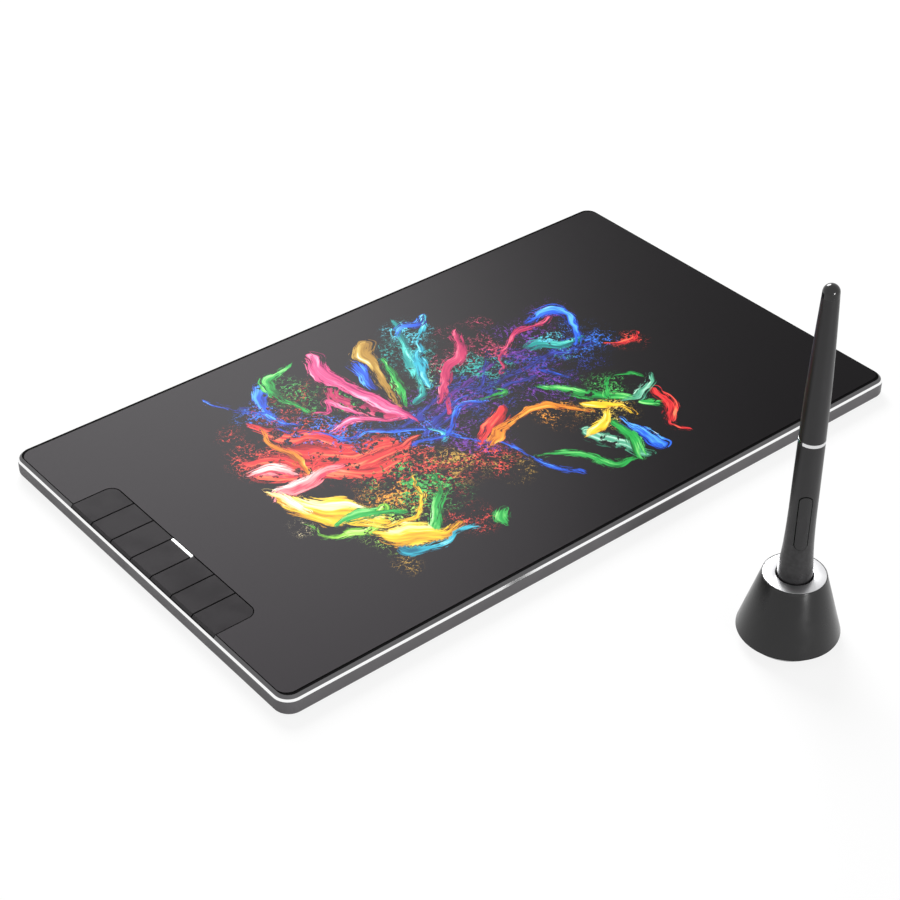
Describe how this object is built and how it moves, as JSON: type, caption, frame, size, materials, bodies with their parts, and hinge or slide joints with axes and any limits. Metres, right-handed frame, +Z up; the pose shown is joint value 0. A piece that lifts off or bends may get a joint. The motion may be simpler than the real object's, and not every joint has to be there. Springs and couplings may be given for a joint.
{
  "type": "pen drawing tablet",
  "caption": "Flat black drawing tablet with a strip of press keys at one end, a colour-burst print on its drawing film, and a pressure pen upright in a weighted cone stand.",
  "frame": {"origin": "on the desk, under the middle of the set's outline, tablet and stand together", "axes": "+X along the tablet's long side from the key strip to the plain end, +Y away from the user, +Z up"},
  "size_m": [0.328, 0.2978, 0.1564],
  "materials": {
    "case_plastic": "fine matte moulded ABS",
    "frame_metal": "grey anodised, with a diamond-cut bright edge",
    "plate_plastic": "plain black moulded",
    "sheet_film": "fine matte drawing film, printed on its back",
    "key_plastic": "fine matte moulded",
    "light_guide": "milky clear",
    "foot_rubber": "soft matte",
    "screw_steel": "blackened",
    "circuit_board": "green solder mask",
    "shield_steel": "thin rolled sheet",
    "foam": "soft closed-cell foam",
    "chip_black": "moulded epoxy",
    "port_steel": "drawn stainless",
    "connector_plastic": "cream nylon",
    "ribbon_film": "amber polyimide",
    "lamp": "lamp package",
    "switch_steel": "tact switch can",
    "plunger_plastic": "switch plunger",
    "pen_plastic": "satin moulded",
    "pen_cap_plastic": "polished moulded",
    "bright_ring": "polished",
    "coil_copper": "enamelled copper winding",
    "ferrite": "sintered",
    "cell_plastic": "white moulded",
    "spine_plastic": "moulded",
    "nib_plastic": "turned acetal",
    "stand_gloss": "satin-gloss moulded",
    "socket_rubber": "soft moulded",
    "weight_steel": "zinc-plated",
    "tray_plastic": "moulded"
  },
  "bodies": {
    "tablet": {"bottom_cover": "case_plastic", "metal_frame": "frame_metal", "top_plate": "plate_plastic", "drawing_sheet": "sheet_film", "rubber_feet": "foot_rubber", "case_screws": "screw_steel", "sensor_board": "circuit_board", "sensor_shield": "shield_steel", "support_pads": "foam", "main_board": "circuit_board", "board_chips": "chip_black", "usb_port_shell": "port_steel", "usb_port_tongue": "chip_black", "ribbon_connectors": "connector_plastic", "sensor_ribbon": "ribbon_film", "key_ribbon": "ribbon_film", "board_screws": "screw_steel", "key_board": "circuit_board", "key_carrier": "plate_plastic", "middle_panel": "key_plastic", "status_light_bar": "light_guide", "status_lamp": "lamp", "key_switches": "switch_steel"},
    "stand_foot": {"stand_base": "stand_gloss", "stand_pad": "foot_rubber", "nib_tray": "tray_plastic", "spare_nibs": "nib_plastic", "nib_puller": "port_steel", "stand_screws": "screw_steel"},
    "stand_body": {"stand_cone": "stand_gloss", "stand_ring": "bright_ring", "stand_socket": "socket_rubber", "stand_weight": "weight_steel"},
    "pen": {"pen_nose": "pen_plastic", "pen_front_barrel": "pen_plastic", "pen_ring": "bright_ring", "pen_rear_barrel": "pen_plastic", "pen_end_cap": "pen_cap_plastic", "pen_chassis": "spine_plastic", "pen_board": "circuit_board", "pen_switches": "switch_steel", "pen_coil": "coil_copper", "pen_ferrite": "ferrite", "pen_pressure_cell": "cell_plastic", "pen_rocker_pin": "port_steel"},
    "pen_side_switch": {"pen_rocker": "pen_plastic"},
    "pen_point": {"pen_nib": "nib_plastic"},
    "key_cap_1": {"key_1": "key_plastic", "switch_plunger_1": "plunger_plastic"},
    "key_cap_2": {"key_2": "key_plastic", "switch_plunger_2": "plunger_plastic"},
    "key_cap_3": {"key_3": "key_plastic", "switch_plunger_3": "plunger_plastic"},
    "key_cap_4": {"key_4": "key_plastic", "switch_plunger_4": "plunger_plastic"},
    "key_cap_5": {"key_5": "key_plastic", "switch_plunger_5": "plunger_plastic"},
    "key_cap_6": {"key_6": "key_plastic", "switch_plunger_6": "plunger_plastic"}
  },
  "joints": [
    {"name": "key_press_1", "type": "slide", "parent": "tablet", "child": "key_cap_1", "axis": [0, 0, -1], "range_m": [0, 0.0004], "stiffness_N_per_m": 1500},
    {"name": "key_press_2", "type": "slide", "parent": "tablet", "child": "key_cap_2", "axis": [0, 0, -1], "range_m": [0, 0.0004], "stiffness_N_per_m": 1500},
    {"name": "key_press_3", "type": "slide", "parent": "tablet", "child": "key_cap_3", "axis": [0, 0, -1], "range_m": [0, 0.0004], "stiffness_N_per_m": 1500},
    {"name": "key_press_4", "type": "slide", "parent": "tablet", "child": "key_cap_4", "axis": [0, 0, -1], "range_m": [0, 0.0004], "stiffness_N_per_m": 1500},
    {"name": "key_press_5", "type": "slide", "parent": "tablet", "child": "key_cap_5", "axis": [0, 0, -1], "range_m": [0, 0.0004], "stiffness_N_per_m": 1500},
    {"name": "key_press_6", "type": "slide", "parent": "tablet", "child": "key_cap_6", "axis": [0, 0, -1], "range_m": [0, 0.0004], "stiffness_N_per_m": 1500},
    {"name": "stand_lift", "type": "slide", "parent": "tablet", "child": "stand_foot", "axis": [0, 0, 1], "range_m": [0, 0.1]},
    {"name": "stand_open", "type": "slide", "parent": "stand_foot", "child": "stand_body", "axis": [0, 0, 1], "range_m": [0, 0.03]},
    {"name": "pen_lift", "type": "slide", "parent": "stand_body", "child": "pen", "axis": [0, 0, 1], "range_m": [0, 0.05]},
    {"name": "side_switch_rock", "type": "hinge", "parent": "pen", "child": "pen_side_switch", "pos_m": [0.00945, -0.13132, 0.0578], "axis": [0.7314, -0.682, 0], "range_deg": [-2, 2], "stiffness_Nm_per_rad": 0.24},
    {"name": "nib_press", "type": "slide", "parent": "pen", "child": "pen_point", "axis": [0, 0, 1], "range_m": [0, 0.0004], "stiffness_N_per_m": 1500}
  ]
}
